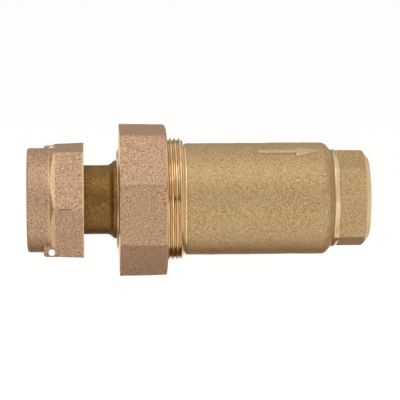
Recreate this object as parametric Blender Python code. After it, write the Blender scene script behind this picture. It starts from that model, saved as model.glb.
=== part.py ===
"""A dual check backflow preventer with a union and swivel-nut inlet, for a 3/4 inch water service.

Frame: metres, the flow runs along +X from the swivel nut (-X) to the threaded outlet (+X), +Z is up,
and the origin is on the flow axis, half way between the two end faces. An angle round the axis is
measured by the right-hand rule about +X, from +Y: a point at angle a and radius r is (x, r cos a, r sin a).
"""

import math

import bmesh
import bpy
from mathutils import Matrix, Vector

MM = 0.001
INCH = 25.4 * MM
DEG = math.pi / 180
TURN = 2 * math.pi

# Clearances between neighbours
TOUCH_GAP = 0.10 * MM
ROUND_GAP = 0.15 * MM

# Facets in one turn
SIDES_LARGE = 28
SIDES_BORE = 24
SIDES_SMALL = 12

# Overall
LENGTH = 126.0 * MM
INLET_X = -LENGTH / 2
OUTLET_X = LENGTH / 2
WATERWAY_R = 9.5 * MM

# Valve body: a cast cylinder with a union thread at the inlet end and an octagonal outlet boss
BODY_FACE_X = -21.3 * MM
BODY_R = 20.6 * MM
BODY_BORE_R = 17.0 * MM
BODY_BAND_X = -4.4 * MM
SHOULDER_X = 45.6 * MM
NECK_X = 49.8 * MM
NECK_R = 17.4 * MM
BOSS_X = 50.6 * MM
BOSS_CORNER_R = 18.0 * MM
BOSS_TURN = -2.6 * DEG
BOSS_END_R = 15.6 * MM
BOSS_CHAMFER = 1.5 * MM
SEAT_STEP_X = 40.9 * MM
SEAT_STEP_R = 12.4 * MM

# Union thread: straight, 16 to the inch
UNION_PITCH = INCH / 16
UNION_CREST_R = 22.65 * MM
UNION_DEPTH = 0.90 * MM
UNION_CREST_FLAT = 0.25 * MM
UNION_CREST_X = -10.65 * MM
UNION_THREAD_END_X = -5.9 * MM
UNION_RADIAL_PLAY = 0.25 * MM
UNION_FLANK_PLAY = 0.15 * MM

# Outlet thread: 3/4 inch taper pipe thread, 14 to the inch
PIPE_PITCH = INCH / 14
PIPE_MINOR_R = 12.15 * MM
PIPE_DEPTH = 1.1 * MM
PIPE_TAPER = 1 / 32
PIPE_START_X = 47.6 * MM
PIPE_MOUTH = 1.0 * MM

# Union nut: octagonal, with an inward lip that pulls the tailpiece's flange to the body
NUT_FACE_X = -29.4 * MM
NUT_BOSS_X = -30.2 * MM
NUT_BOSS_R = 18.3 * MM
NUT_END_X = -11.6 * MM
NUT_CORNER_R = 28.65 * MM
NUT_CORNER_END_R = 28.35 * MM
NUT_TURN = 22.5 * DEG
NUT_LIP_X = -25.8 * MM
NUT_HOLE_R = 15.0 * MM
NUT_RELIEF_R = 23.15 * MM
NUT_THREAD_X = -20.6 * MM
NUT_CHAMFER_LONG = 2.2 * MM
NUT_CHAMFER_DEEP = 3.7 * MM
NUT_RIM_CHAMFER = 0.5 * MM

# Tailpiece: the tube between the two nuts
TAIL_END_X = -50.0 * MM
TAIL_R = 12.75 * MM
TAIL_FILLET_X = -32.2 * MM
TAIL_SHOULDER_X = -30.6 * MM
TAIL_SHOULDER_R = 14.6 * MM
TAIL_FLANGE_R = 20.3 * MM
TAIL_FLANGE_X = NUT_LIP_X + TOUCH_GAP
TAIL_FACE_X = -22.9 * MM
RING_GROOVE_X0 = -47.5 * MM
RING_GROOVE_X1 = -45.75 * MM
RING_GROOVE_R = 11.9 * MM

# Meter swivel nut: a round skirt with a 1 inch, 11 1/2 to the inch, straight thread, and a hexagon
METER_NUT_END_X = -42.2 * MM
METER_NUT_HEX_X = -54.6 * MM
METER_NUT_CONE_END_X = -52.4 * MM
METER_NUT_CORNER_R = 22.35 * MM
METER_NUT_CORNER_END_R = 22.75 * MM
METER_NUT_TURN = -3.15 * DEG
METER_NUT_SKIRT_R = 19.25 * MM
METER_NUT_SKIRT_END_X = -50.0 * MM
METER_NUT_RIM = 1.0 * MM
METER_NUT_LIP_X = -45.65 * MM
METER_NUT_HOLE_R = 13.1 * MM
METER_NUT_RELIEF_R = 16.9 * MM
METER_NUT_THREAD_X = -50.6 * MM
METER_PITCH = INCH / 11.5
METER_MINOR_R = 15.4 * MM
METER_DEPTH = 1.15 * MM

# Seal-wire lugs: two opposite hexagon corners carried forward over the skirt, cross-drilled
LUG_X = -57.4 * MM
LUG_HALF_WIDTH = 3.5 * MM
LUG_INNER_R = 18.0 * MM
LUG_HOLE_R = 1.25 * MM
LUG_HOLE_X = -54.1 * MM
DRILL_TILT = 12.5 * DEG
LUG_DRILLINGS = (("lower", -19.55 * MM, 8.6 * MM), ("upper", 19.55 * MM, -8.6 * MM))
LUG_DRILL_HALF = 5.6 * MM

# Gaskets and the split ring
UNION_GASKET_R0 = 14.9 * MM
UNION_GASKET_R1 = 20.6 * MM
METER_GASKET_R0 = 9.8 * MM
METER_GASKET_R1 = 15.1 * MM
METER_GASKET_THICK = 3.1 * MM
SPLIT_RING_R0 = RING_GROOVE_R + ROUND_GAP
SPLIT_RING_R1 = 14.7 * MM
SPLIT_RING_MOUTH = 24 * DEG

# Check modules: distances along the flow from each module's own inlet face
MODULE_LENGTH = 30.8 * MM
MODULE_GAP = 0.2 * MM
MODULE_R = BODY_BORE_R - 0.3 * MM
CAGE_R1 = 16.4 * MM
CAGE_R0 = 13.4 * MM
SEAT_BORE_R = 10.4 * MM
SEAT_LIP_R = 11.5 * MM
SEAT_FACE_U = 7.1 * MM
SEAT_LIP_U = 8.0 * MM
SEAL_GROOVE_U0 = 2.2 * MM
SEAL_GROOVE_U1 = 5.2 * MM
SEAL_GROOVE_R = 14.2 * MM
O_RING_R = 15.6 * MM
O_RING_CORD_R = 1.25 * MM
CAGE_WINDOWS = 4
CAGE_WINDOW_SPAN = 58 * DEG
CAGE_WINDOW_U0 = 8.7 * MM
CAGE_WINDOW_U1 = 23.0 * MM
GUIDE_U0 = 25.4 * MM
GUIDE_U1 = 28.2 * MM
GUIDE_SEAT_R = 14.2 * MM
GUIDE_SNAP_R = 13.2 * MM
GUIDE_R1 = 14.0 * MM
GUIDE_RING_R0 = 11.8 * MM
GUIDE_DISC_R = 8.3 * MM
GUIDE_HUB_R = 4.4 * MM
GUIDE_BORE_R = 2.95 * MM
GUIDE_HUB_U1 = 29.4 * MM
GUIDE_WINDOWS = 3
GUIDE_WINDOW_SPAN = 92 * DEG
DISC_U0 = SEAT_LIP_U + TOUCH_GAP
DISC_U1 = 10.3 * MM
DISC_R0 = 4.9 * MM
DISC_R1 = 12.0 * MM
POPPET_RIM_U0 = 8.9 * MM
POPPET_PLATE_U0 = DISC_U1 + TOUCH_GAP
POPPET_PLATE_U1 = 12.4 * MM
POPPET_RIM_R0 = DISC_R1 + ROUND_GAP
POPPET_R = 12.9 * MM
POPPET_HUB_R = 4.2 * MM
POPPET_HUB_U1 = 16.6 * MM
POPPET_STEM_R = 2.6 * MM
POPPET_STEM_U1 = 28.2 * MM
POPPET_SOCKET_R = 2.2 * MM
POPPET_SOCKET_U1 = 15.6 * MM
RETAINER_NOSE_U = 4.6 * MM
RETAINER_R = 9.2 * MM
RETAINER_U0 = 6.9 * MM
RETAINER_BOSS_R = DISC_R0 - ROUND_GAP
RETAINER_STUD_R = POPPET_SOCKET_R - ROUND_GAP
RETAINER_STUD_U1 = 15.2 * MM
SPRING_R = 6.3 * MM
SPRING_WIRE_R = 0.42 * MM
SPRING_COILS = 6.0
SPRING_U0 = POPPET_PLATE_U1 + TOUCH_GAP
SPRING_U1 = GUIDE_U0 - TOUCH_GAP
SPRING_POINTS_PER_COIL = 12

# Finishes: colour, roughness, metallic
FINISHES = {
    "cast_bronze": ((0.50, 0.30, 0.13), 0.45, 1.0),
    "cast_bronze_nuts": ((0.52, 0.31, 0.18), 0.50, 1.0),
    "cast_bronze_tail": ((0.30, 0.17, 0.06), 0.45, 1.0),
    "rubber": ((0.015, 0.015, 0.016), 0.6, 0.0),
    "acetal": ((0.55, 0.56, 0.55), 0.4, 0.0),
    "acetal_poppet": ((0.03, 0.09, 0.22), 0.4, 0.0),
    "stainless": ((0.62, 0.60, 0.57), 0.25, 1.0),
    "spring_bronze": ((0.45, 0.27, 0.12), 0.35, 1.0),
}


def material(name):
    """The Principled BSDF material of that name, made once."""
    found = bpy.data.materials.get(name)
    if found:
        return found
    colour, roughness, metallic = FINISHES[name]
    made = bpy.data.materials.new(name)
    made.use_nodes = True
    shader = made.node_tree.nodes["Principled BSDF"]
    shader.inputs["Base Color"].default_value = (*colour, 1.0)
    shader.inputs["Roughness"].default_value = roughness
    shader.inputs["Metallic"].default_value = metallic
    return made


def object_of(name, bm, finish=None):
    """An object from a bmesh, its faces pointing out.

    One with no finish is a tool that shapes other objects.
    """
    bmesh.ops.recalc_face_normals(bm, faces=bm.faces)
    mesh = bpy.data.meshes.new(name)
    bm.to_mesh(mesh)
    bm.free()
    made = bpy.data.objects.new(name, mesh)
    bpy.context.scene.collection.objects.link(made)
    if finish is None:
        made.hide_render = True
        made.display_type = "WIRE"
    else:
        mesh.materials.append(material(finish))
        mesh.shade_smooth()
        mesh.set_sharp_from_angle(angle=35 * DEG)
    return made


def shape(target, operation, *tools):
    """Joins tools to the target, cuts them from it, or keeps what is inside them, in turn."""
    for tool in tools:
        step = target.modifiers.new(f"{operation.lower()} {tool.name}", "BOOLEAN")
        step.operation = operation
        step.object = tool
        step.solver = "EXACT"
    return target


class Thread:
    """A helical ridge, right-handed, on a round surface from x0 to x1.

    Its crest's middle passes angle 0 at crest_x, and it rises depth above a root radius that goes from
    root_r at x0 with a slope of taper. It fades in and out over the first and last half pitch.
    """

    def __init__(self, x0, x1, root_r, depth, pitch, crest_flat, crest_x, taper=0.0):
        self.x0, self.x1 = x0, x1
        self.root_r, self.depth, self.taper = root_r, depth, taper
        self.pitch, self.crest_x = pitch, crest_x
        half, flank = crest_flat / 2, depth * math.tan(30 * DEG)
        crest = ((-half, 1), (half, 1)) if crest_flat else ((0, 1),)
        self.keys = ((-half - flank, 0), *crest, (half + flank, 0))

    def root(self, x):
        return self.root_r + (x - self.x0) * self.taper

    def strip(self, bm, low, high):
        """Faces between the ring of vertices low, at x0, and high, at x1."""
        sides = len(low)
        snap, fade = 0.1 * self.pitch, 0.5 * self.pitch
        first = math.floor((self.x0 - self.crest_x) / self.pitch) - 2
        last = math.ceil((self.x1 - self.crest_x) / self.pitch) + 2
        made = {}

        def vertex(i, k):
            if i == sides:
                i, k = 0, k + len(self.keys)
            turn, (offset, high_part) = k // len(self.keys), self.keys[k % len(self.keys)]
            x = self.crest_x + self.pitch * (turn + i / sides) + offset
            if x <= self.x0 + snap:
                return low[i]
            if x >= self.x1 - snap:
                return high[i]
            if (i, k) not in made:
                rise = min(1.0, (x - self.x0) / fade, (self.x1 - x) / fade)
                r = self.root(x) + self.depth * high_part * rise
                made[i, k] = bm.verts.new(around(x, r, TURN * i / sides))
            return made[i, k]

        for i in range(sides):
            for k in range(first * len(self.keys), last * len(self.keys)):
                corners = [vertex(i, k), vertex(i + 1, k), vertex(i + 1, k + 1), vertex(i, k + 1)]
                face(bm, corners)


def around(x, r, angle):
    return Vector((x, r * math.cos(angle), r * math.sin(angle)))


def face(bm, corners):
    """A face through the corners, where repeated ones count once."""
    distinct = list(dict.fromkeys(corners))
    if len(distinct) > 2:
        bm.faces.new(distinct)


def turned(name, outline, sides, finish=None):
    """Turns an outline about the X axis. It holds (x, r) points, and a Thread between two of them.

    It closes on itself, or on the axis if its first and last points have r = 0.
    """
    bm = bmesh.new()
    rings = []
    for item in outline:
        if isinstance(item, Thread):
            rings.append(item)
        elif item[1] == 0:
            rings.append([bm.verts.new((item[0], 0, 0))] * sides)
        else:
            rings.append([bm.verts.new(around(*item, TURN * i / sides)) for i in range(sides)])
    on_axis = outline[0][1] == 0
    pairs = list(zip(rings, rings[1:] if on_axis else rings[1:] + rings[:1]))
    for i, (a, b) in enumerate(pairs):
        if isinstance(a, Thread):
            continue
        if isinstance(b, Thread):
            ends = (a, rings[(i + 2) % len(rings)])
            b.strip(bm, *(ends if outline[i][0] < outline[(i + 2) % len(outline)][0] else ends[::-1]))
            continue
        for j in range(sides):
            n = (j + 1) % sides
            face(bm, [a[j], a[n], b[n], b[j]])
    return object_of(name, bm, finish)


def bar(name, sides, x0, x1, r0, r1, angle, finish=None):
    """A bar of regular section along X: its corners are at r0 at x0 and r1 at x1, and one is at angle."""
    bm = bmesh.new()
    ends = []
    for x, r in ((x0, r0), (x1, r1)):
        ends.append([bm.verts.new(around(x, r, angle + TURN * i / sides)) for i in range(sides)])
        bm.faces.new(ends[-1])
    for i in range(sides):
        n = (i + 1) % sides
        bm.faces.new((ends[0][i], ends[0][n], ends[1][n], ends[1][i]))
    return object_of(name, bm, finish)


def sector(name, x0, x1, r0, r1, middle, span, steps, finish=None):
    """A piece of a tube: from r0 to r1 and x0 to x1, over span either side of the angle middle."""
    bm = bmesh.new()
    rows = []
    for i in range(steps + 1):
        angle = middle + span * (i / steps - 0.5)
        rows.append([bm.verts.new(around(x, r, angle)) for x, r in ((x0, r0), (x1, r0), (x1, r1), (x0, r1))])
    for a, b in zip(rows, rows[1:]):
        for j in range(4):
            n = (j + 1) % 4
            bm.faces.new((a[j], a[n], b[n], b[j]))
    bm.faces.new(rows[0])
    bm.faces.new(rows[-1])
    return object_of(name, bm, finish)


def valve_body():
    thread_root = UNION_CREST_R - UNION_DEPTH
    union_thread = Thread(
        BODY_FACE_X + 0.5 * MM, UNION_THREAD_END_X, thread_root, UNION_DEPTH, UNION_PITCH,
        UNION_CREST_FLAT, UNION_CREST_X,
    )
    outside = [
        (BODY_FACE_X, 0),
        (BODY_FACE_X, thread_root - 0.5 * MM),
        (union_thread.x0, thread_root),
        union_thread,
        (union_thread.x1, thread_root),
        (UNION_THREAD_END_X + 0.7 * MM, BODY_R - 0.1 * MM),
        (BODY_BAND_X, BODY_R),
        (SHOULDER_X, BODY_R),
        (SHOULDER_X + 1.2 * MM, BODY_R - 0.4 * MM),
        (SHOULDER_X + 2.3 * MM, BODY_R - 1.3 * MM),
        (NECK_X, NECK_R),
        (OUTLET_X - 4 * MM, NECK_R - 2 * MM),
        (OUTLET_X - 4 * MM, 0),
    ]
    body = turned("valve_body", outside, SIDES_LARGE, "cast_bronze")
    boss = bar("boss_tool", 8, BOSS_X - 2 * MM, OUTLET_X, BOSS_CORNER_R, BOSS_CORNER_R, BOSS_TURN)
    envelope = turned(
        "boss_envelope_tool",
        [
            (BOSS_X - 3 * MM, 0),
            (BOSS_X - 3 * MM, NECK_R - 1 * MM),
            (BOSS_X, NECK_R),
            (BOSS_X + 0.8 * MM, BOSS_CORNER_R + 1 * MM),
            (OUTLET_X - BOSS_CHAMFER - 1 * MM, BOSS_CORNER_R + 1 * MM),
            (OUTLET_X, BOSS_END_R),
            (OUTLET_X, 0),
        ],
        SIDES_BORE,
    )
    shape(boss, "INTERSECT", envelope)
    mouth_r = PIPE_MINOR_R + (OUTLET_X - PIPE_START_X) * PIPE_TAPER
    pipe_thread = Thread(
        PIPE_START_X, OUTLET_X - PIPE_MOUTH, PIPE_MINOR_R, PIPE_DEPTH, PIPE_PITCH, 0, PIPE_START_X,
        taper=PIPE_TAPER,
    )
    bore = turned(
        "body_bore_tool",
        [
            (BODY_FACE_X - 1 * MM, 0),
            (BODY_FACE_X - 1 * MM, BODY_BORE_R),
            (SEAT_STEP_X, BODY_BORE_R),
            (SEAT_STEP_X, SEAT_STEP_R + 1 * MM),
            (SEAT_STEP_X + 2 * MM, PIPE_MINOR_R),
            (pipe_thread.x0, PIPE_MINOR_R),
            pipe_thread,
            (pipe_thread.x1, pipe_thread.root(pipe_thread.x1)),
            (OUTLET_X, mouth_r + 1 * MM),
            (OUTLET_X + 1 * MM, mouth_r + 2 * MM),
            (OUTLET_X + 1 * MM, 0),
        ],
        SIDES_BORE,
    )
    shape(body, "UNION", boss)
    shape(body, "DIFFERENCE", bore)


def union_nut():
    nut = bar(
        "union_nut", 8, NUT_FACE_X, NUT_END_X, NUT_CORNER_R, NUT_CORNER_END_R, NUT_TURN, "cast_bronze_nuts"
    )
    corner = NUT_CORNER_R + 1 * MM
    envelope = turned(
        "nut_envelope_tool",
        [
            (NUT_FACE_X - 1 * MM, 0),
            (NUT_FACE_X - 1 * MM, corner - 1.7 * MM),
            (NUT_FACE_X + 0.6 * MM, corner),
            (NUT_END_X - NUT_CHAMFER_LONG, corner),
            (NUT_END_X, corner - NUT_CHAMFER_DEEP),
            (NUT_END_X + 1 * MM, corner - NUT_CHAMFER_DEEP),
            (NUT_END_X + 1 * MM, 0),
        ],
        SIDES_LARGE,
    )
    boss = turned(
        "nut_boss_tool",
        [
            (NUT_BOSS_X, 0),
            (NUT_BOSS_X, NUT_BOSS_R - 0.2 * MM),
            (NUT_BOSS_X + 0.2 * MM, NUT_BOSS_R),
            (NUT_FACE_X + 1 * MM, NUT_BOSS_R),
            (NUT_FACE_X + 1 * MM, 0),
        ],
        SIDES_LARGE,
    )
    shape(nut, "INTERSECT", envelope)
    shape(nut, "UNION", boss)
    minor = UNION_CREST_R - UNION_DEPTH + UNION_RADIAL_PLAY
    groove = Thread(
        NUT_THREAD_X - UNION_PITCH, NUT_END_X + UNION_PITCH, minor, UNION_DEPTH, UNION_PITCH,
        UNION_CREST_FLAT + 2 * (UNION_FLANK_PLAY - UNION_RADIAL_PLAY * math.tan(30 * DEG)), UNION_CREST_X,
    )
    bore = turned(
        "nut_bore_tool",
        [
            (NUT_BOSS_X - 1 * MM, 0),
            (NUT_BOSS_X - 1 * MM, NUT_HOLE_R),
            (NUT_LIP_X, NUT_HOLE_R),
            (NUT_LIP_X, NUT_RELIEF_R),
            (NUT_THREAD_X, NUT_RELIEF_R),
            (NUT_THREAD_X, 0),
        ],
        SIDES_LARGE,
    )
    threading = turned(
        "nut_thread_tool",
        [(groove.x0, 0), (groove.x0, minor), groove, (groove.x1, minor), (groove.x1, 0)],
        SIDES_LARGE,
    )
    rim_r = UNION_CREST_R + UNION_RADIAL_PLAY
    rim = turned(
        "nut_rim_tool",
        [
            (NUT_END_X - NUT_RIM_CHAMFER - 1 * MM, 0),
            (NUT_END_X - NUT_RIM_CHAMFER - 1 * MM, rim_r - 1 * MM),
            (NUT_END_X + 1 * MM, rim_r + NUT_RIM_CHAMFER + 1 * MM),
            (NUT_END_X + 1 * MM, 0),
        ],
        SIDES_LARGE,
    )
    shape(nut, "DIFFERENCE", bore, threading, rim)


def tailpiece():
    fillet = TAIL_SHOULDER_R - TAIL_R
    outline = [
        (TAIL_END_X, WATERWAY_R),
        (TAIL_END_X, TAIL_R - 0.3 * MM),
        (TAIL_END_X + 0.3 * MM, TAIL_R),
        (RING_GROOVE_X0, TAIL_R),
        (RING_GROOVE_X0, RING_GROOVE_R),
        (RING_GROOVE_X1, RING_GROOVE_R),
        (RING_GROOVE_X1, TAIL_R),
        (TAIL_FILLET_X, TAIL_R),
        (TAIL_FILLET_X + 0.8 * fillet, TAIL_R + 0.35 * fillet),
        (TAIL_SHOULDER_X, TAIL_SHOULDER_R),
        (TAIL_FLANGE_X, TAIL_SHOULDER_R),
        (TAIL_FLANGE_X, TAIL_FLANGE_R),
        (TAIL_FACE_X, TAIL_FLANGE_R),
        (TAIL_FACE_X, WATERWAY_R),
    ]
    turned("union_tailpiece", outline, SIDES_LARGE, "cast_bronze_tail")


def meter_nut():
    nut = bar(
        "meter_nut", 6, METER_NUT_HEX_X, METER_NUT_END_X, METER_NUT_CORNER_R, METER_NUT_CORNER_END_R,
        METER_NUT_TURN, "cast_bronze_nuts",
    )
    corner_r = METER_NUT_CORNER_END_R + 1 * MM
    envelope = turned(
        "meter_nut_envelope_tool",
        [
            (METER_NUT_HEX_X, 0),
            (METER_NUT_HEX_X, METER_NUT_SKIRT_R),
            (METER_NUT_CONE_END_X, METER_NUT_CORNER_END_R),
            (METER_NUT_CONE_END_X, corner_r),
            (METER_NUT_END_X + 1 * MM, corner_r),
            (METER_NUT_END_X + 1 * MM, 0),
        ],
        SIDES_LARGE,
    )
    shape(nut, "INTERSECT", envelope)
    skirt = turned(
        "skirt_tool",
        [
            (INLET_X, 0),
            (INLET_X, METER_NUT_SKIRT_R - METER_NUT_RIM),
            (INLET_X + 0.3 * METER_NUT_RIM, METER_NUT_SKIRT_R - 0.3 * METER_NUT_RIM),
            (INLET_X + METER_NUT_RIM, METER_NUT_SKIRT_R),
            (METER_NUT_SKIRT_END_X, METER_NUT_SKIRT_R),
            (METER_NUT_SKIRT_END_X, 0),
        ],
        SIDES_LARGE,
    )
    shape(nut, "UNION", skirt)
    for name, _, depth in LUG_DRILLINGS:
        corner = METER_NUT_TURN + (240 * DEG if depth > 0 else 60 * DEG)
        lug = bar(
            f"{name}_lug_tool", 6, LUG_X, METER_NUT_HEX_X + 1 * MM, METER_NUT_CORNER_R - 0.3 * MM,
            METER_NUT_CORNER_R - 0.02 * MM, METER_NUT_TURN,
        )
        outer = METER_NUT_CORNER_R + 2 * MM
        slab = box_tool(
            f"{name}_lug_slab_tool", (LUG_X - 1 * MM, METER_NUT_HEX_X + 2 * MM), (LUG_INNER_R, outer),
            LUG_HALF_WIDTH, corner,
        )
        shape(lug, "INTERSECT", slab)
        shape(nut, "UNION", lug)
    thread = Thread(
        INLET_X + 1.2 * MM, METER_NUT_THREAD_X, METER_MINOR_R, METER_DEPTH, METER_PITCH, 0, INLET_X,
    )
    bore = turned(
        "meter_nut_bore_tool",
        [
            (INLET_X - 1 * MM, 0),
            (INLET_X - 1 * MM, METER_MINOR_R + 2.2 * MM),
            (INLET_X, METER_MINOR_R + 1.2 * MM),
            (thread.x0, METER_MINOR_R),
            thread,
            (thread.x1, METER_MINOR_R),
            (thread.x1 + 0.8 * MM, METER_NUT_RELIEF_R),
            (METER_NUT_LIP_X, METER_NUT_RELIEF_R),
            (METER_NUT_LIP_X, METER_NUT_HOLE_R),
            (METER_NUT_END_X + 1 * MM, METER_NUT_HOLE_R),
            (METER_NUT_END_X + 1 * MM, 0),
        ],
        SIDES_BORE,
    )
    shape(nut, "DIFFERENCE", bore)
    # The drillings lie across the lugs, tilted by DRILL_TILT about the axis
    across = Vector((0, -math.cos(DRILL_TILT), math.sin(DRILL_TILT)))
    above = Vector((0, math.sin(DRILL_TILT), math.cos(DRILL_TILT)))
    for name, height, depth in LUG_DRILLINGS:
        middle = Vector((LUG_HOLE_X, 0, 0)) + above * height + across * depth
        drill = turned(
            f"{name}_drill_tool",
            [
                (-LUG_DRILL_HALF, 0),
                (-LUG_DRILL_HALF, LUG_HOLE_R),
                (LUG_DRILL_HALF, LUG_HOLE_R),
                (LUG_DRILL_HALF, 0),
            ],
            SIDES_SMALL,
        )
        drill.data.transform(Vector((1, 0, 0)).rotation_difference(across).to_matrix().to_4x4())
        drill.data.transform(Matrix.Translation(middle))
        shape(nut, "DIFFERENCE", drill)


def box_tool(name, x_range, r_range, half_width, angle):
    """A box standing out from the axis at an angle: x_range along it, r_range out from it."""
    bm = bmesh.new()
    bmesh.ops.create_cube(bm, size=1)
    size = (x_range[1] - x_range[0], r_range[1] - r_range[0], 2 * half_width)
    middle = Vector((sum(x_range) / 2, sum(r_range) / 2, 0))
    bmesh.ops.transform(bm, matrix=Matrix.Diagonal((*size, 1)), verts=bm.verts)
    place = Matrix.Rotation(angle, 4, "X") @ Matrix.Translation(middle)
    bmesh.ops.transform(bm, matrix=place, verts=bm.verts)
    return object_of(name, bm)


def seals_and_ring():
    seal_x = (TAIL_FACE_X + TOUCH_GAP, BODY_FACE_X - TOUCH_GAP)
    flat_ring("union_gasket", *seal_x, UNION_GASKET_R0, UNION_GASKET_R1)
    gasket_x = TAIL_END_X - TOUCH_GAP
    flat_ring("meter_gasket", gasket_x - METER_GASKET_THICK, gasket_x, METER_GASKET_R0, METER_GASKET_R1)
    sector(
        "meter_nut_snap_ring", RING_GROOVE_X0 + TOUCH_GAP, RING_GROOVE_X1 - TOUCH_GAP, SPLIT_RING_R0,
        SPLIT_RING_R1, 90 * DEG, TURN - SPLIT_RING_MOUTH, SIDES_BORE, "spring_bronze",
    )


def flat_ring(name, x0, x1, r0, r1):
    turned(name, [(x0, r0), (x0, r1), (x1, r1), (x1, r0)], SIDES_BORE, "rubber")


def check_module(name, inlet_x):
    """One spring-loaded check: it opens with the flow, towards +X, and its spring closes it."""

    def at(points):
        return [(inlet_x + u, r) for u, r in points]

    housing = turned(
        f"{name}_housing",
        at(
            [
                (0, SEAT_BORE_R + 0.8 * MM),
                (0, MODULE_R - 0.4 * MM),
                (0.4 * MM, MODULE_R),
                (SEAL_GROOVE_U0, MODULE_R),
                (SEAL_GROOVE_U0, SEAL_GROOVE_R),
                (SEAL_GROOVE_U1, SEAL_GROOVE_R),
                (SEAL_GROOVE_U1, MODULE_R),
                (SEAT_FACE_U, MODULE_R),
                (SEAT_LIP_U, CAGE_R1),
                (MODULE_LENGTH, CAGE_R1),
                (MODULE_LENGTH, GUIDE_SNAP_R + 0.8 * MM),
                (MODULE_LENGTH - 1.2 * MM, GUIDE_SNAP_R),
                (GUIDE_U1 + TOUCH_GAP, GUIDE_SNAP_R),
                (GUIDE_U1 + TOUCH_GAP, GUIDE_SEAT_R),
                (GUIDE_U0 - TOUCH_GAP, GUIDE_SEAT_R),
                (GUIDE_U0 - TOUCH_GAP, CAGE_R0),
                (SEAT_FACE_U, CAGE_R0),
                (SEAT_FACE_U, SEAT_LIP_R + 0.5 * MM),
                (SEAT_LIP_U, SEAT_LIP_R),
                (SEAT_LIP_U, SEAT_LIP_R - 0.6 * MM),
                (SEAT_FACE_U, SEAT_BORE_R),
                (0.8 * MM, SEAT_BORE_R),
            ]
        ),
        SIDES_BORE,
        "acetal",
    )
    for i in range(CAGE_WINDOWS):
        window = sector(
            f"{name}_window_{i}_tool", inlet_x + CAGE_WINDOW_U0, inlet_x + CAGE_WINDOW_U1, CAGE_R0 - 1 * MM,
            CAGE_R1 + 1 * MM, TURN * i / CAGE_WINDOWS, CAGE_WINDOW_SPAN, 4,
        )
        shape(housing, "DIFFERENCE", window)
    guide = turned(
        f"{name}_spring_guide",
        at(
            [
                (GUIDE_U0, GUIDE_BORE_R),
                (GUIDE_U0, GUIDE_R1 - 0.2 * MM),
                (GUIDE_U0 + 0.4 * MM, GUIDE_R1),
                (GUIDE_U1, GUIDE_R1 - 0.2 * MM),
                (GUIDE_U1, GUIDE_HUB_R),
                (GUIDE_HUB_U1, GUIDE_HUB_R - 0.4 * MM),
                (GUIDE_HUB_U1, GUIDE_BORE_R),
            ]
        ),
        SIDES_BORE,
        "acetal",
    )
    for i in range(GUIDE_WINDOWS):
        window = sector(
            f"{name}_guide_window_{i}_tool", inlet_x + GUIDE_U0 - 1 * MM, inlet_x + GUIDE_U1 + 1 * MM,
            GUIDE_DISC_R, GUIDE_RING_R0, 90 * DEG + TURN * i / GUIDE_WINDOWS, GUIDE_WINDOW_SPAN, 8,
        )
        shape(guide, "DIFFERENCE", window)
    turned(
        f"{name}_poppet",
        at(
            [
                (POPPET_SOCKET_U1, 0),
                (POPPET_SOCKET_U1 - 0.4 * MM, POPPET_SOCKET_R),
                (POPPET_PLATE_U0, POPPET_SOCKET_R),
                (POPPET_PLATE_U0, POPPET_RIM_R0),
                (POPPET_RIM_U0, POPPET_RIM_R0),
                (POPPET_RIM_U0, POPPET_R - 0.2 * MM),
                (POPPET_PLATE_U1 - 0.4 * MM, POPPET_R),
                (POPPET_PLATE_U1, POPPET_R - 0.4 * MM),
                (POPPET_PLATE_U1, POPPET_HUB_R),
                (POPPET_HUB_U1, POPPET_HUB_R - 0.2 * MM),
                (POPPET_HUB_U1 + 0.8 * MM, POPPET_STEM_R),
                (POPPET_STEM_U1 - 0.6 * MM, POPPET_STEM_R),
                (POPPET_STEM_U1, POPPET_STEM_R - 0.6 * MM),
                (POPPET_STEM_U1, 0),
            ]
        ),
        SIDES_BORE,
        "acetal_poppet",
    )
    turned(
        f"{name}_disc_retainer",
        at(
            [
                (RETAINER_NOSE_U, 0),
                (RETAINER_NOSE_U + 0.1 * MM, 2.4 * MM),
                (RETAINER_NOSE_U + 0.7 * MM, 5.4 * MM),
                (RETAINER_U0, RETAINER_R - 0.5 * MM),
                (RETAINER_U0 + 0.5 * MM, RETAINER_R),
                (SEAT_LIP_U, RETAINER_R),
                (SEAT_LIP_U, RETAINER_BOSS_R),
                (DISC_U1, RETAINER_BOSS_R),
                (DISC_U1, RETAINER_STUD_R),
                (RETAINER_STUD_U1 - 0.4 * MM, RETAINER_STUD_R),
                (RETAINER_STUD_U1 - 0.2 * MM, 0),
            ]
        ),
        SIDES_SMALL,
        "acetal_poppet",
    )
    turned(
        f"{name}_seal_disc",
        at([(DISC_U0, DISC_R0), (DISC_U0, DISC_R1), (DISC_U1, DISC_R1), (DISC_U1, DISC_R0)]),
        SIDES_BORE,
        "rubber",
    )
    cord = [
        (
            inlet_x + (SEAL_GROOVE_U0 + SEAL_GROOVE_U1) / 2 + O_RING_CORD_R * math.cos(TURN * i / 8),
            O_RING_R + O_RING_CORD_R * math.sin(TURN * i / 8),
        )
        for i in range(8)
    ]
    turned(f"{name}_o_ring", cord, SIDES_BORE, "rubber")
    spring(f"{name}_spring", inlet_x)


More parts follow.
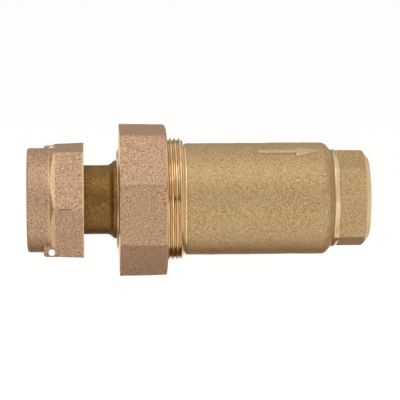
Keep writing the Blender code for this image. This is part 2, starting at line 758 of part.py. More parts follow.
def spring(name, inlet_x):
    """A compression spring. Its end coils lie flat, so the pitch eases in and out over half a coil each."""
    count = round(SPRING_COILS * SPRING_POINTS_PER_COIL)
    x0 = inlet_x + SPRING_U0 + SPRING_WIRE_R
    travel = SPRING_U1 - SPRING_U0 - 2 * SPRING_WIRE_R
    curve = bpy.data.curves.new(name, "CURVE")
    curve.dimensions = "3D"
    curve.bevel_depth = SPRING_WIRE_R
    curve.bevel_resolution = 0
    curve.use_fill_caps = True
    line = curve.splines.new("POLY")
    line.points.add(count)
    ends = 2 * SPRING_WIRE_R / travel
    for i in range(count + 1):
        coil = SPRING_COILS * i / count
        middle = min(max((coil - 1) / (SPRING_COILS - 2), 0.0), 1.0)
        rise = ends * min(coil, 1.0) + (1 - 2 * ends) * middle + ends * max(coil - SPRING_COILS + 1, 0.0)
        line.points[i].co = (*around(x0 + travel * rise, SPRING_R, TURN * coil), 1.0)
    curve.materials.append(material("stainless"))
    bpy.context.scene.collection.objects.link(bpy.data.objects.new(name, curve))


for old in list(bpy.data.objects):
    bpy.data.objects.remove(old)
valve_body()
union_nut()
tailpiece()
meter_nut()
seals_and_ring()
inlet_module_x = BODY_FACE_X + MODULE_GAP
check_module("inlet_check", inlet_module_x)
check_module("outlet_check", inlet_module_x + MODULE_LENGTH + MODULE_GAP)
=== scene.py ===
"""The looks of a dual check backflow preventer: cast bronze, turned threads, plastic checks."""

import math

import bmesh
import bpy
import numpy as np
from mathutils import Euler, Matrix, Vector


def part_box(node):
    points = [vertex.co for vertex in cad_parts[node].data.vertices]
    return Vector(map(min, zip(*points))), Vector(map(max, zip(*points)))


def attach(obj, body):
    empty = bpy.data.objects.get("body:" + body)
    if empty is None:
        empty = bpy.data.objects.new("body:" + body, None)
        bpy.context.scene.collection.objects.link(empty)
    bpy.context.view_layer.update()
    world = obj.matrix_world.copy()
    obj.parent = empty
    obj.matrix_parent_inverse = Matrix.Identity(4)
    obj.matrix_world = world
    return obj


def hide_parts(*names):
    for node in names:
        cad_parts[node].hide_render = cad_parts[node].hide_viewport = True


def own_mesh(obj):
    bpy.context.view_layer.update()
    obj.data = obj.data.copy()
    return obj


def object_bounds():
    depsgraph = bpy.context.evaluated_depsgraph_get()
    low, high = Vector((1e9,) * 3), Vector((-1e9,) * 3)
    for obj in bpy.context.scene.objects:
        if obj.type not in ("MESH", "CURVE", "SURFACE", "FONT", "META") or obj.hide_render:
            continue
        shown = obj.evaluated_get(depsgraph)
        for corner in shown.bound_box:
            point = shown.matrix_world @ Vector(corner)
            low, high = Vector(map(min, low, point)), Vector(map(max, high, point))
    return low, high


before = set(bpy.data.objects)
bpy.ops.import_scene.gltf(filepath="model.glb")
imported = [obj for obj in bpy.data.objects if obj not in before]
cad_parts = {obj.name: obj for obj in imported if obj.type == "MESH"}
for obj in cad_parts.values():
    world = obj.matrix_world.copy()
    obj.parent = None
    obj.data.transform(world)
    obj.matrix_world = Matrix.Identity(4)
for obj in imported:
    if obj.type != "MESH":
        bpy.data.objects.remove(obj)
cad_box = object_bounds()


# Valve body. One sand casting in lead-free bronze: a plain barrel with an octagonal outlet boss.
# The union thread, both end faces and everything inside are turned on a lathe after casting.
MM = 0.001
TURN = 2 * math.pi
SHARP_EDGE = math.radians(42)


def rounded(corners, closed=True):
    """An outline in mm through corners (x, r, fillet, step, machined), and its machined share.

    Each corner becomes a parabola that starts and ends a fillet's length along its two sides. The
    straight run after it is divided into steps. An open outline keeps its two ends sharp.
    """
    values = np.array(corners, float)
    here = values[:, :2]
    back, ahead = np.roll(here, 1, 0) - here, np.roll(here, -1, 0) - here
    back_long, ahead_long = np.linalg.norm(back, axis=1), np.linalg.norm(ahead, axis=1)
    reach = np.minimum(values[:, 2], 0.49 * np.minimum(back_long, ahead_long))
    if not closed:
        reach[[0, -1]] = 0
    start = here + back * (reach / back_long)[:, None]
    end = here + ahead * (reach / ahead_long)[:, None]
    points, machined = [], []
    for i, (_, _, _, step, share) in enumerate(values):
        t = np.linspace(0, 1, 6 if reach[i] > 0.25 else 4 if reach[i] > 0 else 1)[:, None]
        curve = (1 - t) ** 2 * start[i] + 2 * t * (1 - t) * here[i] + t**2 * end[i]
        following = start[(i + 1) % len(values)]
        count = math.ceil(np.linalg.norm(following - end[i]) / step)
        s = np.arange(1, count)[:, None] / max(count, 1)
        last = not closed and i == len(values) - 1
        run = curve if last else np.vstack([curve, end[i] + s * (following - end[i])])
        points.append(run)
        machined.append(np.full(len(run), share))
    return np.vstack(points), np.concatenate(machined)


def loft(name, rings, closed, **attributes):
    """A closed body through rings, an array (stations, points, 3) in mm, each ring a closed loop.

    closed joins the last ring to the first; otherwise both end rings are filled. Each attribute is
    an array (stations, points). The faces are turned to point out.
    """
    stations, points = rings.shape[:2]
    index = np.arange(stations * points).reshape(stations, points)
    rows = index if closed else index[:-1]
    above = np.roll(index, -1, 0) if closed else index[1:]
    quads = np.stack([rows, np.roll(rows, -1, 1), np.roll(above, -1, 1), above], -1).reshape(-1, 4)
    faces = quads.tolist()
    if not closed:
        faces += [index[0, ::-1].tolist(), index[-1].tolist()]
    mesh = bpy.data.meshes.new(name)
    mesh.from_pydata((rings.reshape(-1, 3) * MM).tolist(), [], faces)
    for key, value in attributes.items():
        values = np.broadcast_to(value, (stations, points)).astype(np.float32)
        mesh.attributes.new(key, "FLOAT", "POINT").data.foreach_set("value", values.ravel())
    solid = bmesh.new()
    solid.from_mesh(mesh)
    if solid.calc_volume(signed=True) < 0:
        bmesh.ops.reverse_faces(solid, faces=solid.faces)
    solid.to_mesh(mesh)
    solid.free()
    mesh.shade_smooth()
    mesh.set_sharp_from_angle(angle=SHARP_EDGE)
    piece = bpy.data.objects.new(name, mesh)
    bpy.context.scene.collection.objects.link(piece)
    return piece


def angles(count, corners=1, first=0.0, crowd=0.0):
    """Even angles round the axis from first on, less a sine that crowds them at the corners."""
    even = TURN * np.arange(count) / count + first
    return even - crowd / corners * np.sin(corners * (even - first))


def regular(angle, corners, first, corner_r, sharpness=110):
    """The radius of a regular polygon with soft corners, the first of them at the angle first.

    It is the inverse p-norm, over all flats, of the cosine to a flat divided by its distance.
    """
    flat_r = corner_r * math.cos(math.pi / corners)
    middles = first + TURN * (np.arange(corners) + 0.5) / corners
    facing = np.clip(np.cos(angle[..., None] - middles), 0.02, 1) / flat_r[..., None]
    return (facing**sharpness).sum(-1) ** (-1 / sharpness)


def lesser(a, b, blend):
    """The smaller of two radii, with a soft change from one to the other."""
    return (a + b - np.sqrt((a - b) ** 2 + blend**2)) / 2


def thread(x, angle, start, end, crest_x, pitch, depth, crest):
    """How far a right-hand helical ridge stands up: a 60 degree V, cut flat at its crest.

    It falls evenly from the crest down both flanks, and fades over half a pitch at each end.
    """
    along = (x - crest_x) / pitch - angle / TURN
    from_crest = np.abs(along - np.round(along)) * pitch
    flank = depth * math.tan(math.pi / 6)
    fade = np.clip(np.minimum(x - start, end - x) / (pitch / 2), 0, 1)
    return depth * fade * np.clip((crest / 2 + flank - from_crest) / flank, 0, 1)


def uneven(x, angle, height):
    """The slow waviness of a cast skin, as a few sine waves across x and the angle."""
    waves = np.sin(3 * angle + 0.31 * x)
    waves = waves + np.sin(0.53 * x - 2 * angle + 1.7)
    waves = waves + np.sin(5 * angle - 0.17 * x + 0.6)
    return height / 3 * waves


def around(x, r, angle):
    """Points at the distance r from the flow axis."""
    return np.stack(np.broadcast_arrays(x, r * np.cos(angle), r * np.sin(angle)), -1)


def path_along(outline):
    """The distance covered along an outline, in metres, at each of its points."""
    return np.concatenate([[0], np.cumsum(np.linalg.norm(np.diff(outline, axis=0), axis=1))]) * MM


def colour(code):
    """Linear RGBA from an sRGB hex value."""
    parts = [int(code[i : i + 2], 16) / 255 for i in (1, 3, 5)]
    return (*[c / 12.92 if c <= 0.04045 else ((c + 0.055) / 1.055) ** 2.4 for c in parts], 1.0)


def add(tree, kind, inputs=(), **settings):
    """Adds a node with its settings, and its inputs set or linked, and gives back its outputs."""
    made = tree.nodes.new(kind)
    for key, value in settings.items():
        setattr(made, key, value)
    for key, value in dict(inputs).items():
        if isinstance(value, bpy.types.NodeSocket):
            tree.links.new(value, made.inputs[key])
        else:
            made.inputs[key].default_value = value
    return made.outputs


def blended(tree, share, a, b):
    """The colour a, going to b with the share."""
    return add(tree, "ShaderNodeMix", {0: share, 6: a, 7: b}, data_type="RGBA")[2]


def spread(tree, value, low, high, to_low=0.0, to_high=1.0):
    """A value stretched from one range to another, and held inside it."""
    limits = {"From Min": low, "From Max": high, "To Min": to_low, "To Max": to_high}
    return add(tree, "ShaderNodeMapRange", {"Value": value, **limits})[0]


def bronze(name, light, dark, patch, turned, grain_mm=0.5, cast_rough=0.5, turned_rough=0.28):
    """Sand-cast bronze: a mottled, dull skin left by the sand, and bright gold where it is turned.

    The mesh's attributes say how machined each point is, how much painted shade darkens it in hollows, and
    its path.
    """
    made = bpy.data.materials.new(name)
    made.use_nodes = True
    tree = made.node_tree
    place = add(tree, "ShaderNodeTexCoord")["Object"]
    noise = {"Vector": place, "Detail": 3.0, "Roughness": 0.62}
    grain = add(tree, "ShaderNodeTexNoise", {**noise, "Scale": 1 / (grain_mm * MM)})[0]
    fine = add(tree, "ShaderNodeTexNoise", {**noise, "Scale": 3.1 / (grain_mm * MM)})[0]
    patches = add(tree, "ShaderNodeTexNoise", {**noise, "Scale": 1 / (9 * MM)})[0]
    machined = add(tree, "ShaderNodeAttribute", attribute_name="machined")["Fac"]
    recess = add(tree, "ShaderNodeAttribute", attribute_name="recess")["Fac"]
    path = add(tree, "ShaderNodeAttribute", attribute_name="path")["Fac"]
    feed = {"W": path, "Scale": 1 / (0.22 * MM)}
    marks = add(tree, "ShaderNodeTexNoise", feed, noise_dimensions="1D")[0]
    skin = blended(tree, spread(tree, grain, 0.33, 0.67), colour(dark), colour(light))
    skin = blended(tree, spread(tree, patches, 0.42, 0.7, 0.0, 0.5), skin, colour(patch))
    cut = blended(tree, spread(tree, marks, 0.3, 0.7, 0.0, 0.35), colour(turned), colour(light))
    finish = blended(tree, machined, skin, cut)
    # Painted shade: the colour goes towards dark brown where the mesh marks a hollow, such as thread grooves
    finish = blended(tree, recess, finish, colour("#7a4a1c"))
    rough = spread(tree, fine, 0.3, 0.7, cast_rough - 0.08, cast_rough + 0.1)
    rough = add(tree, "ShaderNodeMix", {0: machined, 2: rough, 3: turned_rough})[0]
    sand = add(tree, "ShaderNodeMath", {0: grain, 1: fine}, operation="ADD")[0]
    height = add(tree, "ShaderNodeMix", {0: machined, 2: sand, 3: marks})[0]
    depth = add(tree, "ShaderNodeMix", {0: machined, 2: 0.55, 3: 0.12})[0]
    relief = {"Height": height, "Strength": depth, "Distance": 0.12 * MM}
    normal = add(tree, "ShaderNodeBump", relief)[0]
    shader = tree.nodes["Principled BSDF"]
    shader.inputs["Metallic"].default_value = 1.0
    tree.links.new(finish, shader.inputs["Base Color"])
    tree.links.new(rough, shader.inputs["Roughness"])
    tree.links.new(normal, shader.inputs["Normal"])
    return made


def finished(piece, material, body, slot, *nodes):
    """Gives a piece its material and body, and hides the CAD nodes it stands for; its slot is not used."""
    piece.data.materials.clear()
    piece.data.materials.append(material)
    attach(piece, body)
    if nodes:
        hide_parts(*nodes)
    return piece


low, high = (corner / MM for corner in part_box("valve_body"))
face_x, outlet_x = low.x, high.x
UNION = {"crest_x": face_x + 10.65, "pitch": 25.4 / 16, "depth": 0.9, "crest": 0.25}
thread_x = (face_x + 0.5, face_x + 15.4)
barrel_r, bore_r, root_r = 20.6, 17.0, 21.75
octagon_corner_r, neck_x = 18.0, outlet_x - 13.95
pipe_x = (outlet_x - 15.4, outlet_x - 1.0)
body_line, body_machined = rounded(
    [
        (face_x, bore_r, 0.3, 0.9, 1),
        (face_x, root_r - 0.4, 0.1, 0.2, 1),
        (thread_x[0], root_r, 0.1, 0.13, 1),
        (thread_x[1], root_r, 0.1, 0.2, 1),
        (thread_x[1] + 0.7, barrel_r - 0.2, 0.2, 0.3, 1),
        (thread_x[1] + 1.3, barrel_r - 0.2, 0.1, 0.3, 0),
        (thread_x[1] + 1.6, barrel_r, 0.2, 1.2, 0),
        (outlet_x - 16.4, barrel_r, 1.5, 0.4, 0),
        (outlet_x - 14.4, 18.15, 0.6, 0.25, 0.1),
        (outlet_x - 13.9, 17.75, 0.2, 0.2, 0),
        # The strip from here to the next corner, where the octagon's flats begin, gets most of the pale
        # turned colour as a painted highlight, and a smoother finish.
        (outlet_x - 13.3, 18.05, 0.2, 0.2, 0.7),
        (outlet_x - 11.5, 18.05, 0.2, 0.2, 0),
        (outlet_x - 10.9, 18.5, 0.2, 0.6, 0),
        (outlet_x - 2.9, 18.5, 0.6, 0.3, 0),
        (outlet_x - 1.4, 16.2, 0.9, 0.3, 0.5),
        (outlet_x, 14.5, 0.6, 0.3, 1),
        (outlet_x, 13.7, 0.15, 0.3, 1),
        (pipe_x[1], 12.65, 0.05, 0.17, 1),
        (pipe_x[0], 12.15, 0.2, 1.0, 1),
        (outlet_x - 20.1, 12.15, 0.2, 0.6, 1),
        (outlet_x - 22.1, 13.4, 0.2, 0.8, 1),
        (outlet_x - 22.1, bore_r, 0.3, 3.0, 1),
    ]
)
octagon_turn = math.radians(-2.6)
a = angles(320, 8, octagon_turn, 0.6)[None, :]
x, r = body_line[:, :1], body_line[:, 1:]
outer = np.arange(len(x))[:, None] < np.argmax(body_line[:, 0])
octagon = regular(a + 0 * x, 8, octagon_turn, octagon_corner_r + 0 * x)

# The octagon's flats run out into the round neck
run_out = np.clip((x - outlet_x + 13.2) / 1.8, 0, 1) * outer
r = r + (lesser(r, octagon, 0.12) - r) * run_out
union_ridge = thread(x, a, *thread_x, **UNION) * (outer & (x < thread_x[1]))
pipe_ridge = thread(x, a, *pipe_x, pipe_x[0], 25.4 / 14, 1.1, 0.15) * ~outer
r = r + union_ridge + pipe_ridge + uneven(x, a, 0.06) * (1 - body_machined[:, None]) * outer

# Painted shade: the thread's grooves and the corner of the neck are darkened towards brown
threaded = outer & (x > thread_x[0]) & (x < thread_x[1])
recess = np.where(threaded, 0.4 * (1 - union_ridge / UNION["depth"]), 0.0)
recess = recess + 0.45 * outer * np.exp(-(((x - neck_x) / 0.3) ** 2))
body_bronze = bronze(
    "tumbled sand-cast bronze", "#d3b389", "#98764a", "#b8a479", "#f2d8b0",
    grain_mm=0.58, turned_rough=0.2,
)
casting = loft(
    "body_casting", around(x, r, a), True,
    machined=body_machined[:, None], recess=recess, path=path_along(body_line)[:, None],
)
finished(casting, body_bronze, "valve_body", "cast_bronze", "valve_body")


# Flow arrow. Raised on the casting by the mould, it points to the outlet.
# A rounded bar whose half width widens to the head, bent round the barrel and sunk a little into it.
shaft_x, head_x = np.linspace(21.6, 35.4, 12), np.linspace(35.6, 43.8, 12)
arrow_x = np.concatenate([shaft_x, head_x]) + outlet_x - 63
half = np.concatenate([np.ones(12), np.linspace(3.1, 0.25, 12)])
half[[0, -1]] *= 0.8
arrow_rise, arrow_sink, arrow_turn = 0.42, 0.3, math.radians(111.5)
across = np.cos(TURN * np.arange(24) / 24)
raised = np.arange(24) < 12
rise = np.where(raised, arrow_rise * (1 - np.abs(across) ** 6) ** 0.5, -arrow_sink)
lowered = np.where(raised, np.minimum(1, half[:, None] / 0.6), 1)
arrow_angle = arrow_turn + half[:, None] * across / barrel_r
arrow_r = barrel_r + 0.02 + rise * lowered
arrow = loft(
    "flow_arrow", around(arrow_x[:, None] + 0 * across, arrow_r, arrow_angle), False,
    machined=0.3, recess=0.0, path=0.0,
)
finished(arrow, body_bronze, "valve_body", "cast_bronze")


# Union nut. A sand-cast bronze octagon, turned on both end faces and threaded inside. Its raised
# washer face and its end chamfer are bright, and the chamfer sits a little off the casting's centre.
low, high = (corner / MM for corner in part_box("union_nut"))
nut_x, nut_end_x = low.x, high.x
minor_r, relief_r, hole_r = root_r + 0.25, 23.15, 15.0
nut_corner_r, nut_draft, chamfer_offset = 28.72, 0.32, 0.9
nut_thread_x = (nut_end_x - 9.0, nut_end_x - 0.6)
nut_line, nut_machined = rounded(
    [
        (nut_x, hole_r, 0.4, 0.6, 1),
        (nut_x, 17.9, 0.5, 0.3, 1),
        (nut_x + 0.65, 18.4, 0.15, 0.9, 1),
        (nut_x + 1.15, 29.6, 0.6, 0.5, 0),
        (nut_end_x - 1.5, 29.8, 0.7, 0.35, 0),
        (nut_end_x - 0.4, 27.9, 0.5, 0.35, 0.3),
        (nut_end_x, 25.6, 0.4, 0.3, 1),
        (nut_end_x, minor_r + 1.2, 0.15, 0.2, 1),
        (nut_thread_x[1], minor_r, 0.05, 0.13, 1),
        (nut_thread_x[0], minor_r, 0.05, 0.3, 1),
        (nut_thread_x[0] - 0.6, relief_r, 0.2, 1.0, 1),
        (nut_x + 4.4, relief_r, 0.4, 0.8, 1),
        (nut_x + 4.4, hole_r, 0.3, 1.0, 1),
    ]
)
nut_turn = math.radians(22.5)
a = angles(384, 8, nut_turn, 0.7)[None, :]
x, r = nut_line[:, :1], nut_line[:, 1:]
outer = r > 23.0
off_centre = chamfer_offset * np.clip((x - nut_end_x + 5) / 3, 0, 1) * np.cos(a - math.radians(77.5))
draft = np.clip((x - nut_x) / (nut_end_x - nut_x), 0, 1)
octagon = regular(a + 0 * x, 8, nut_turn, nut_corner_r - nut_draft * draft)
r = np.where(outer, lesser(r - off_centre, octagon, 0.18), r + 0 * a)
groove = thread(x, a, nut_thread_x[0] - 0.9, nut_end_x + 0.9, **UNION) * (~outer & (x > nut_thread_x[0]))
groove = groove * (x < nut_thread_x[1] + 0.01)
r = r + groove + uneven(x, a, 0.07) * (1 - nut_machined[:, None]) * outer
nut_bronze = bronze(
    "tumbled sand-cast nut bronze", "#d6b497", "#8a6748", "#b39273", "#f0cb9a", grain_mm=0.6
)
union_nut = loft(
    "union_nut_octagon", around(x, r, a), True,
    machined=nut_machined[:, None], recess=0.0, path=path_along(nut_line)[:, None],
)
finished(union_nut, nut_bronze, "union_nut", "cast_bronze_nuts", "union_nut")


# Union tailpiece. A bronze tube left as it came from the sand, brown with oxide, that flares to a
# shoulder under the nut. Its flange, both faces and the snap ring's groove are turned.
low, high = (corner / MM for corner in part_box("union_tailpiece"))
tail_x, flange_x = low.x, high.x
tail_r, way_r, flange_r = 12.75, 9.5, 20.3
tail_line, tail_machined = rounded(
    [
        (tail_x, way_r, 0.3, 0.6, 1),
        (tail_x, tail_r, 0.4, 0.8, 0.6),
        (tail_x + 2.5, tail_r, 0.05, 0.3, 1),
        (tail_x + 2.5, tail_r - 0.85, 0.1, 0.5, 1),
        (tail_x + 4.25, tail_r - 0.85, 0.1, 0.3, 1),
        (tail_x + 4.25, tail_r, 0.05, 0.7, 0),
        (tail_x + 17.3, tail_r, 1.5, 0.3, 0),
        (tail_x + 18.9, tail_r + 1.6, 0.6, 0.4, 0),
        (flange_x - 2.8, tail_r + 1.85, 0.3, 0.8, 1),
        (flange_x - 2.8, flange_r, 0.3, 0.8, 1),
        (flange_x, flange_r, 0.3, 1.0, 1),
        (flange_x, way_r, 0.4, 1.6, 1),
    ]
)
a = angles(192)[None, :]
x, r = tail_line[:, :1], tail_line[:, 1:]
r = r + uneven(x, a, 0.08) * (1 - tail_machined[:, None])
tail_bronze = bronze(
    "as-cast brown bronze", "#a07b47", "#5f4120", "#7a5a34", "#c89a5c",
    grain_mm=0.62, cast_rough=0.46,
)
tube = loft(
    "tailpiece_tube", around(x, r, a), True,
    machined=tail_machined[:, None], recess=0.0, path=path_along(tail_line)[:, None],
)
finished(tube, tail_bronze, "tailpiece", "cast_bronze_tail", "union_tailpiece")


# Meter nut. Cast bronze: a round skirt with the meter thread inside, and a hexagon behind it. Two
# lugs beside opposite corners are drilled for the wire of a seal. A short notch marks the near edge.
low, high = (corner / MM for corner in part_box("meter_nut"))
skirt_x, hex_end_x = low.x, high.x
hex_x, skirt_r, meter_r = skirt_x + 8.4, 19.25, 15.4
hex_corner_r, hex_draft = 22.35, 0.45
meter_x = (skirt_x + 1.2, skirt_x + 12.4)
hex_line, hex_machined = rounded(
    [
        (skirt_x, meter_r + 1.3, 0.2, 0.4, 1),
        (skirt_x, skirt_r, 1.2, 0.45, 0),
        (hex_x, skirt_r, 0.3, 0.3, 0.3),
        (hex_x + 2.3, 23.4, 0.5, 0.5, 0),
        (hex_end_x, 23.4, 0.3, 0.5, 0.3),
        (hex_end_x, 13.1, 0.4, 0.7, 1),
        (hex_end_x - 3.45, 13.1, 0.2, 0.8, 1),
        (hex_end_x - 3.45, 16.9, 0.3, 0.8, 1),
        (meter_x[1] + 0.8, 16.9, 0.2, 0.3, 1),
        (meter_x[1], meter_r, 0.05, 0.18, 1),
        (meter_x[0], meter_r, 0.05, 0.3, 1),
    ]
)
hex_turn = math.radians(-3.15)
a = angles(312, 6, hex_turn, 0.7)[None, :]
x, r = hex_line[:, :1], hex_line[:, 1:]
outer = (np.arange(len(x)) < np.argmax(hex_line[:, 0]) + 12)[:, None] & (r > 18.3)
draft = np.clip((x - hex_x) / (hex_end_x - hex_x), 0, 1)
hexagon = regular(a + 0 * x, 6, hex_turn, hex_corner_r + hex_draft * draft)
r = np.where(outer & (x > hex_x - 0.4), lesser(r, hexagon, 0.16), r + 0 * a)
edge_a = hex_turn + math.pi
notch = np.exp(-(((a - edge_a) * 22 / 0.22) ** 2)) * (np.abs(x - hex_x - 5.7) < 2.2) * outer
ridge = thread(x, a, *meter_x, skirt_x, 25.4 / 11.5, 1.15, 0.2) * ~outer
ridge = ridge * (x > meter_x[0]) * (x < meter_x[1])
r = r + ridge - 0.3 * notch + uneven(x, a, 0.06) * (1 - hex_machined[:, None]) * outer
# The notch is cut in, and painted shade also darkens it.
meter_nut = loft(
    "meter_nut_hexagon", around(x, r, a), True,
    machined=hex_machined[:, None], recess=0.7 * notch, path=path_along(hex_line)[:, None],
)


def carve(piece, operation, tool):
    """Joins a tool to a piece or cuts it from the piece, for good, and removes the tool."""
    step = piece.modifiers.new("carve", "BOOLEAN")
    step.operation, step.object, step.solver = operation, tool, "EXACT"
    shape = bpy.data.meshes.new_from_object(piece.evaluated_get(bpy.context.evaluated_depsgraph_get()))
    piece.modifiers.clear()
    piece.data = shape
    shape.set_sharp_from_angle(angle=SHARP_EDGE)
    bpy.data.objects.remove(tool)


lug_x, lug_near = hex_x + 0.5, 7.9
lug_long, lug_wide, lug_high = 2.9, 2.3, 2.35
wire_hole_x, wire_hole_r = skirt_x + 8.95, 1.2
view_tilt = math.radians(12.5)
towards = np.array([0, -math.cos(view_tilt), math.sin(view_tilt)])
above = np.array([0, math.sin(view_tilt), math.cos(view_tilt)])


def squared(value):
    """A sine or cosine pushed out towards -1 and 1: its size to the power 0.4, with its sign."""
    return np.sign(value) * np.abs(value) ** 0.4


def lug(name, rise, near):
    """A block with rounded edges, a superellipsoid along x and in the frame tilted to the viewer."""
    across = np.linspace(0.04, math.pi - 0.04, 25)[:, None]
    round_it = TURN * np.arange(32)[None, :] / 32
    along = lug_long * squared(np.cos(across)) + 0 * round_it
    depth = near + lug_wide * squared(np.sin(across)) * squared(np.cos(round_it))
    height = rise + lug_high * squared(np.sin(across)) * squared(np.sin(round_it))
    place = height[..., None] * above + depth[..., None] * towards
    place[..., 0] = lug_x - along
    return loft(name, place, False, machined=0.0, recess=0.0, path=0.0)


def drill(name, at, direction, radius, half):
    """A round bar through the point at, in mm."""
    direction = np.array(direction) / np.linalg.norm(direction)
    side = np.cross(direction, [1, 0, 0])
    round_it = TURN * np.arange(40)[None, :, None] / 40
    ring = radius * (np.cos(round_it) * side + np.sin(round_it) * np.array([1, 0, 0]))
    stations = np.array([-half, half])[:, None, None] * direction
    return loft(name, np.array(at) + stations + ring, False, machined=0.2, recess=0.0, path=0.0)


for side, rise, near, hole, half in (
    ("lower", -18.5, lug_near, -19.3, 15.0),
    ("upper", 18.0, -lug_near, 18.8, 9.5),
):
    carve(meter_nut, "UNION", lug(f"{side}_lug", rise, near))
    centre = np.array([wire_hole_x, 0, 0]) + above * hole + towards * near
    carve(meter_nut, "DIFFERENCE", drill(f"{side}_hole", centre, towards, wire_hole_r, half))

# The lugs and their drillings keep the cast skin
points = np.array([vertex.co for vertex in meter_nut.data.vertices]) / MM
on_lug = (np.abs(points[:, 0] - lug_x) < 3.1) & (np.hypot(points[:, 1], points[:, 2]) > skirt_r + 0.1)
on_lug &= (np.abs(np.abs(points @ towards) - lug_near) < 3) & (np.abs(points @ above) > 15.5)
for key in ("machined", "recess", "path"):
    layer = meter_nut.data.attributes[key].data
    values = np.zeros(len(points), np.float32)
    layer.foreach_get("value", values)
    values[on_lug] = 0
    layer.foreach_set("value", values)
finished(meter_nut, nut_bronze, "meter_nut", "cast_bronze_nuts", "meter_nut")


# Snap ring and flat gaskets. The ring is drawn bronze wire of a flat section, bent into an open hoop
# that keeps the meter nut on the tailpiece. The gaskets are punched from black rubber sheet.
def plain(name, base, other, rough, metallic=0.0, grain_mm=0.6, bump=0.05):
    """A moulded or drawn finish: two close colours in fine patches, with a faint bump."""
    made = bpy.data.materials.new(name)
    made.use_nodes = True
    tree = made.node_tree
    place = add(tree, "ShaderNodeTexCoord")["Object"]
    grain = {"Vector": place, "Scale": 1 / (grain_mm * MM), "Detail": 2.0}
    noise = add(tree, "ShaderNodeTexNoise", grain)[0]
    shader = tree.nodes["Principled BSDF"]
    shader.inputs["Metallic"].default_value = metallic
    tree.links.new(blended(tree, noise, colour(base), colour(other)), shader.inputs["Base Color"])
    tree.links.new(spread(tree, noise, 0.3, 0.7, rough - 0.06, rough + 0.06), shader.inputs["Roughness"])
    fine = {"Height": noise, "Strength": bump, "Distance": 0.1 * MM}
    tree.links.new(add(tree, "ShaderNodeBump", fine)[0], shader.inputs["Normal"])
    return made


TURNED_SIDES = 112


def turned(name, corners, material, body, slot, node, closed=True):
    """A piece turned about the flow axis that stands for one CAD node. Corners are (x, r, fillet)."""
    line, _ = rounded([(*corner, 2.0, 0) for corner in corners], closed)
    points = around(line[:, :1], line[:, 1:], angles(TURNED_SIDES)[None, :])
    return finished(loft(name, points, closed), material, body, slot, node)


rubber = plain("moulded nitrile rubber", "#1b1b1c", "#262627", 0.55)
for name, node, body, inner_r in (
    ("meter_end_gasket", "meter_gasket", "tailpiece", 9.8),
    ("union_face_gasket", "union_gasket", "valve_body", 14.9),
):
    low, high = (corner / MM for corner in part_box(node))
    flat = [(low.x, inner_r, 0.2), (low.x, high.z, 0.2), (high.x, high.z, 0.2), (high.x, inner_r, 0.2)]
    turned(name, flat, rubber, body, "rubber", node)
low, high = (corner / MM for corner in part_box("meter_nut_snap_ring"))
hoop = math.radians(90) + np.linspace(-0.5, 0.5, 97)[:, None] * math.radians(336)
round_it = TURN * (np.arange(20)[None, :] + 0.5) / 20
ring_x = (low.x + high.x) / 2 + (high.x - low.x) / 2 * squared(np.cos(round_it))
ring_r = 13.375 + 1.32 * squared(np.sin(round_it))
wire_bronze = plain("drawn phosphor bronze", "#c8935a", "#b8834c", 0.3, 1.0, 0.4)
snap_ring = loft("open_snap_ring", around(ring_x + 0 * hoop, ring_r, hoop), False)
finished(snap_ring, wire_bronze, "tailpiece", "spring_bronze", "meter_nut_snap_ring")


# The two check modules, one behind the other in the bore. Each has a natural acetal housing with its
# seat, a blue acetal poppet with a rubber disc clipped on, a stainless spring and a slotted guide.
acetal = plain("moulded natural acetal", "#dedcd2", "#d2d0c6", 0.38)
blue_acetal = plain("moulded blue acetal", "#1d3f6e", "#234877", 0.36)
stainless = plain("drawn stainless wire", "#c4c0b8", "#b0aca4", 0.24, 1.0, 0.3)


def window(name, x0, x1, r0, r1, middle, span):
    """A curved block that cuts a slot through a wall, from r0 to r1."""
    angle = middle + np.linspace(-0.5, 0.5, 13)[:, None] * span
    along = np.array([[x0, x1, x1, x0]]) + 0 * angle
    return loft(name, around(along, np.array([[r0, r0, r1, r1]]), angle), False)


